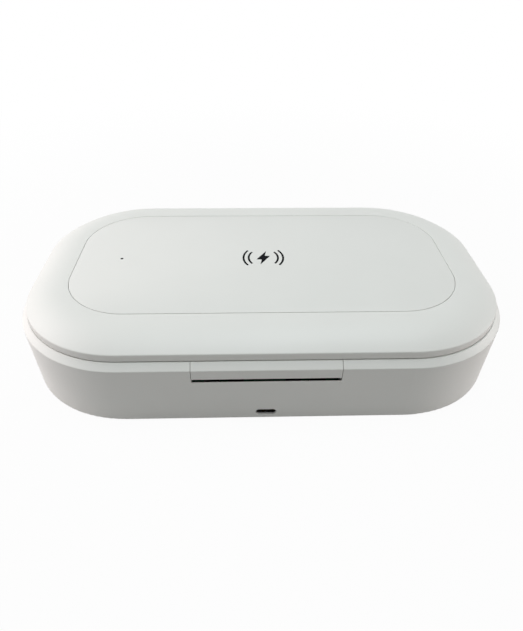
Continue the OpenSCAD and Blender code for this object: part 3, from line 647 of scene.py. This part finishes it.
# %% Liner screws
LINER_X = 56
LINER_Y = 58.15
LINER_END = 101.15

liner_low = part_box("liner_screws")[0]
places = [(x * MM, y * MM, liner_low.z) for x in (-LINER_X, LINER_X) for y in (-LINER_Y, LINER_Y)]
places += [(x * MM, 0.0, liner_low.z) for x in (-LINER_END, LINER_END)]
liner_screws = set_out(cross_screw(1.7, 0.7, 0.9, 2.6, 0.95, 0.2, 0.42), places)
make_piece("liner_screw_set", liner_screws, screw_steel, "lid", "screw_steel", "liner_screws")

# %% [markdown]
# ## Lamp electrodes
# A clear lamp shows what is inside it. At each end of the tube a nickel cup sits on a lead wire.
# The cup is hollow, so its outline runs up the outside, over the lip and back down the inside.

# %% Electrodes
CUP = [
    (0.0, 60.0), (0.22, 60.0), (0.22, 50.2), (0.7, 50.1), (0.92, 49.8), (0.95, 44.3), (0.86, 44.1),
    (0.76, 44.3), (0.74, 49.2), (0.0, 49.4),
]
for body in ("base", "lid"):
    cups = bmesh.new()
    for side in ("front", "rear"):
        low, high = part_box(body + "_lamp_" + side)
        middle = (0.0, (low.y + high.y) / 2, (low.z + high.z) / 2)
        for way in (-1.0, 1.0):
            turn(cups, CUP, middle, axis=(way, 0.0, 0.0), steps=24)
    make_piece(body + "_lamp_electrodes", cups, magnet_nickel, body, "magnet_nickel")

# %% [markdown]
# ## The button
# The front button is a rounded bar with a softly raised face. It is grown from its flange: the
# flange's front face is inset to the button's size and pulled forward, its rim is rounded, and a
# second inset lifts the middle a little. A stem behind it reaches the switch.

# %% Button
FLANGE_HALF = (9.0 * MM, 4.0 * MM)
FLANGE_CORNER = 3.9 * MM
FLANGE_BACK = 62.52 * MM
FLANGE_FRONT = 63.52 * MM
STEP_IN = 1.0 * MM
RIM_FALL = 0.12 * MM
RIM_ROUND = 0.55 * MM

button_low, button_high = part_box("button_cap")
button_middle = (button_low.z + button_high.z) / 2
rim_height = button_high.y - RIM_FALL

button_shape = slab(*FLANGE_HALF, FLANGE_CORNER, FLANGE_BACK, FLANGE_FRONT, 12)
face = max(button_shape.faces, key=lambda f: f.calc_center_median().z)
bmesh.ops.inset_region(button_shape, faces=[face], thickness=STEP_IN, depth=0.0)
grown = bmesh.ops.extrude_face_region(button_shape, geom=[face])["geom"]
upper = [v for v in grown if isinstance(v, bmesh.types.BMVert)]
bmesh.ops.translate(button_shape, vec=(0.0, 0.0, rim_height - FLANGE_FRONT), verts=upper)
bmesh.ops.delete(button_shape, geom=[face], context="FACES_ONLY")
break_edge(button_shape, rim_height, RIM_ROUND, 4)
face = max(button_shape.faces, key=lambda f: (f.calc_center_median().z, f.calc_area()))
bmesh.ops.inset_region(button_shape, faces=[face], thickness=STEP_IN, depth=RIM_FALL)

# %% Its stem, and the turn that points it forward
STEM_RADIUS = 2.0
STEM_BREAK = 0.15
STEM_FRONT = 62.6

stem_back = button_low.y / MM
stem = [
    (0.0, stem_back), (STEM_RADIUS - STEM_BREAK, stem_back), (STEM_RADIUS, stem_back + STEM_BREAK),
    (STEM_RADIUS, STEM_FRONT), (0.0, STEM_FRONT),
]
turn(button_shape, stem, (0.0, 0.0, 0.0), steps=32)
bmesh.ops.rotate(
    button_shape, cent=(0, 0, 0), matrix=Matrix.Rotation(math.radians(-90), 3, "X"),
    verts=button_shape.verts,
)
bmesh.ops.translate(button_shape, vec=(0.0, 0.0, button_middle), verts=button_shape.verts)
make_piece("button", button_shape, button_white, "button", "button_white", "button_cap", corner=50)

# %% [markdown]
# ## Contacts in the power inlet
# Inside the steel shell of the inlet a black tongue carries twelve gilded contacts on each face.
# Each is a thin strip with its long edges broken, laid out at the standard half-millimetre pitch.

# %% Contacts
CONTACTS = 12
PITCH = 0.5 * MM
STRIP = (0.26 * MM, 3.6 * MM, 0.06 * MM)
STRIP_BREAK = 0.02 * MM
STRIP_MIDDLE = 2.1 * MM
TONGUE_HALF = 0.35 * MM

tongue_low, tongue_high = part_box("socket_tongue")
inlet_z = (tongue_low.z + tongue_high.z) / 2
contact_shape = bmesh.new()
for step in range(CONTACTS):
    x = (step - (CONTACTS - 1) / 2) * PITCH
    for way in (-1, 1):
        made = bmesh.ops.create_cube(contact_shape, size=1.0)["verts"]
        bmesh.ops.scale(contact_shape, vec=STRIP, verts=made)
        edges = dict.fromkeys(e for v in made for e in v.link_edges)
        long_edges = [e for e in edges if abs(e.verts[0].co.y - e.verts[1].co.y) > MM]
        place = (x, tongue_low.y + STRIP_MIDDLE, inlet_z + way * TONGUE_HALF)
        bmesh.ops.translate(contact_shape, vec=place, verts=made)
        bmesh.ops.bevel(
            contact_shape, geom=long_edges, offset=STRIP_BREAK, segments=2, profile=0.5,
            affect="EDGES", material=-1,
        )
make_piece("inlet_contacts", contact_shape, contact_gold, "base", "socket_steel")

# %% [markdown]
# ## Wiring
# A thin harness runs from the main board up to the hinge, through its hollow pin and on to the
# lid. It is fixed wiring, not a free cord. A spline bends round corners as a wire does. Two extra
# control points beside each corner keep the straight runs straight.

# %% A helper for a harness
WIRE_RADIUS = 0.6 * MM
BEND = 1.6 * MM


def harness(name, route, body, node):
    """route lists the corners of the wires' path, in mm."""
    route = [Vector(p) * MM for p in route]
    control = [route[0]]
    for before, here, after in zip(route, route[1:], route[2:]):
        control.append(here + (before - here).normalized() * BEND)
        control.append(here)
        control.append(here + (after - here).normalized() * BEND)
    control.append(route[-1])
    line = bpy.data.curves.new(name, "CURVE")
    line.dimensions = "3D"
    line.bevel_depth = WIRE_RADIUS
    line.bevel_resolution = 3
    line.use_fill_caps = True
    spline = line.splines.new("NURBS")
    spline.points.add(len(control) - 1)
    for point, place in zip(spline.points, control):
        point.co = (*place, 1.0)
    spline.order_u = 3
    spline.use_endpoint_u = True
    spline.resolution_u = 6
    holder = bpy.data.objects.new(name + "_line", line)
    bpy.context.scene.collection.objects.link(holder)
    bpy.context.view_layer.update()
    drawn = holder.evaluated_get(bpy.context.evaluated_depsgraph_get())
    tube = bpy.data.meshes.new_from_object(drawn)
    bpy.data.objects.remove(holder)
    shape = bmesh.new()
    shape.from_mesh(tube)
    bpy.data.meshes.remove(tube)
    bmesh.ops.remove_doubles(shape, verts=shape.verts, dist=WELD)
    make_piece(name, shape, wire_black, body, "wire_black", node, corner=50)


# %% The two harnesses, which meet at the hinge's axis
HINGE_Y = -63.9
HINGE_Z = 27.6
BASE_ROUTE = [
    (27.9, -50.6, 7.2), (37.7, -53.6, 7.2), (37.7, -62.5, 12.2), (37.7, HINGE_Y, HINGE_Z),
    (30.7, HINGE_Y, HINGE_Z),
]
LID_ROUTE = [
    (30.1, HINGE_Y, HINGE_Z), (14.64, HINGE_Y, HINGE_Z), (14.64, -60.0, 31.6), (14.64, -60.0, 35.0),
    (14.64, -52.0, 38.6), (-34.5, -20.0, 38.6), (-34.5, -16.5, 38.6),
]
harness("base_wires", BASE_ROUTE, "base", "base_harness")
harness("lid_wires", LID_ROUTE, "lid", "lid_harness")
